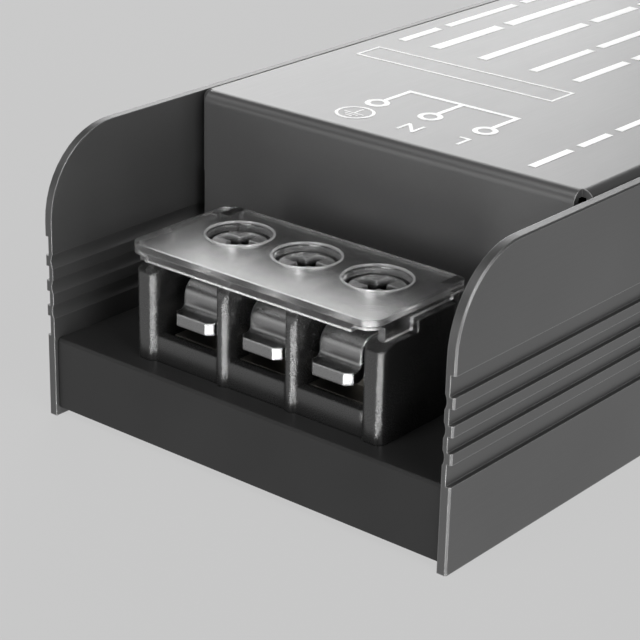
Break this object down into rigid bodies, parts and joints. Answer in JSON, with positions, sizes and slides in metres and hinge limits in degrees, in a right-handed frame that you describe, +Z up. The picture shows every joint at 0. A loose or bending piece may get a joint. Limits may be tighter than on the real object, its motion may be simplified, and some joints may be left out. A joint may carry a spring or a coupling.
{
  "type": "power supply",
  "caption": "Slim metal-cased mains power supply: ribbed channel, folded lid, screw terminals under clear hinged covers at both ends.",
  "frame": {"origin": "on the ground under the middle of the case", "axes": "+X across the case, +Y from the input end to the output end, +Z up"},
  "size_m": [0.05, 0.19, 0.0299],
  "materials": {
    "anodised_case": "satin dark grey anodised",
    "painted_cover": "satin dark grey coating",
    "black_screw": "blackened",
    "plated_steel": "zinc plated",
    "terminal_screw": "nickel plated",
    "nickel_plate": "nickel plated",
    "bare_brass": "machined",
    "black_moulding": "moulded, slightly glossy",
    "clear_plastic": "clear moulded plastic",
    "insulating_film": "translucent film",
    "board_laminate": "solder mask over laminate",
    "fuse_glass": "clear tube with metal caps",
    "yellow_case": "moulded case",
    "blue_coating": "dipped coating",
    "dark_coating": "dipped coating",
    "ferrite": "sintered ferrite",
    "copper_wire": "enamelled wire",
    "capacitor_sleeve": "shrunk sleeve over an aluminium can",
    "yellow_tape": "polyester tape",
    "bare_aluminium": "milled",
    "grey_pad": "silicone pad"
  },
  "bodies": {
    "case": {"board_screws": "plated_steel", "board_standoffs": "bare_brass", "bridge_rectifier": "black_moulding", "bulk_capacitors": "capacitor_sleeve", "chassis": "anodised_case", "choke_base": "black_moulding", "choke_core": "ferrite", "choke_windings": "copper_wire", "circuit_board": "board_laminate", "controller_chip": "black_moulding", "cover_nuts": "plated_steel", "cover_screws": "black_screw", "device_pads": "grey_pad", "device_screws": "plated_steel", "fuse": "fuse_glass", "fuse_clips": "nickel_plate", "heat_bars": "bare_aluminium", "input_contacts": "nickel_plate", "input_terminal_block": "black_moulding", "input_tray": "black_moulding", "inrush_disc": "dark_coating", "insulation_sheet": "insulating_film", "optocoupler": "black_moulding", "output_capacitors": "capacitor_sleeve", "output_choke_core": "ferrite", "output_choke_winding": "copper_wire", "output_contacts": "nickel_plate", "output_rectifiers": "black_moulding", "output_terminal_block": "black_moulding", "output_tray": "black_moulding", "power_transistors": "black_moulding", "safety_disc": "blue_coating", "suppression_capacitor": "yellow_case", "surge_disc": "blue_coating", "top_cover": "painted_cover", "transformer_bobbin": "black_moulding", "transformer_core": "ferrite", "transformer_winding": "yellow_tape", "tray_screws": "black_screw"},
    "input_clamp_1": {"input_clamp_1": "plated_steel"},
    "input_clamp_2": {"input_clamp_2": "plated_steel"},
    "input_clamp_3": {"input_clamp_3": "plated_steel"},
    "input_clear_cover": {"input_clear_cover": "clear_plastic"},
    "input_screw_1": {"input_screw_1": "terminal_screw"},
    "input_screw_2": {"input_screw_2": "terminal_screw"},
    "input_screw_3": {"input_screw_3": "terminal_screw"},
    "output_clamp_1": {"output_clamp_1": "plated_steel"},
    "output_clamp_2": {"output_clamp_2": "plated_steel"},
    "output_clear_cover": {"output_clear_cover": "clear_plastic"},
    "output_screw_1": {"output_screw_1": "terminal_screw"},
    "output_screw_2": {"output_screw_2": "terminal_screw"}
  },
  "joints": [
    {"name": "input_clamp_1_lift", "type": "slide", "parent": "case", "child": "input_clamp_1", "axis": [0, 0, 1], "range_m": [-0.0011, 0.0022]},
    {"name": "input_screw_1_turn", "type": "hinge", "parent": "input_clamp_1", "child": "input_screw_1", "pos_m": [-0.0085, -0.0848, 0.018], "axis": [0, 0, 1], "range_deg": [-567, 1132]},
    {"name": "input_clamp_2_lift", "type": "slide", "parent": "case", "child": "input_clamp_2", "axis": [0, 0, 1], "range_m": [-0.0011, 0.0022]},
    {"name": "input_screw_2_turn", "type": "hinge", "parent": "input_clamp_2", "child": "input_screw_2", "pos_m": [0, -0.0848, 0.018], "axis": [0, 0, 1], "range_deg": [-567, 1132]},
    {"name": "input_clamp_3_lift", "type": "slide", "parent": "case", "child": "input_clamp_3", "axis": [0, 0, 1], "range_m": [-0.0011, 0.0022]},
    {"name": "input_screw_3_turn", "type": "hinge", "parent": "input_clamp_3", "child": "input_screw_3", "pos_m": [0.0085, -0.0848, 0.018], "axis": [0, 0, 1], "range_deg": [-567, 1132]},
    {"name": "input_cover_hinge", "type": "hinge", "parent": "case", "child": "input_clear_cover", "pos_m": [0, -0.0802, 0.018], "axis": [-1, 0, 0], "range_deg": [0, 100]},
    {"name": "output_clamp_1_lift", "type": "slide", "parent": "case", "child": "output_clamp_1", "axis": [0, 0, 1], "range_m": [-0.0011, 0.0022]},
    {"name": "output_screw_1_turn", "type": "hinge", "parent": "output_clamp_1", "child": "output_screw_1", "pos_m": [0.00425, 0.0848, 0.018], "axis": [0, 0, 1], "range_deg": [-567, 1132]},
    {"name": "output_clamp_2_lift", "type": "slide", "parent": "case", "child": "output_clamp_2", "axis": [0, 0, 1], "range_m": [-0.0011, 0.0022]},
    {"name": "output_screw_2_turn", "type": "hinge", "parent": "output_clamp_2", "child": "output_screw_2", "pos_m": [-0.00425, 0.0848, 0.018], "axis": [0, 0, 1], "range_deg": [-567, 1132]},
    {"name": "output_cover_hinge", "type": "hinge", "parent": "case", "child": "output_clear_cover", "pos_m": [0, 0.0802, 0.018], "axis": [1, 0, 0], "range_deg": [0, 100]}
  ],
  "couplings": [
    {"joint": "input_screw_1_turn", "follows": "input_clamp_1_lift", "rad_per_m": 8976},
    {"joint": "input_screw_2_turn", "follows": "input_clamp_2_lift", "rad_per_m": 8976},
    {"joint": "input_screw_3_turn", "follows": "input_clamp_3_lift", "rad_per_m": 8976},
    {"joint": "output_screw_1_turn", "follows": "output_clamp_1_lift", "rad_per_m": 8976},
    {"joint": "output_screw_2_turn", "follows": "output_clamp_2_lift", "rad_per_m": 8976}
  ]
}
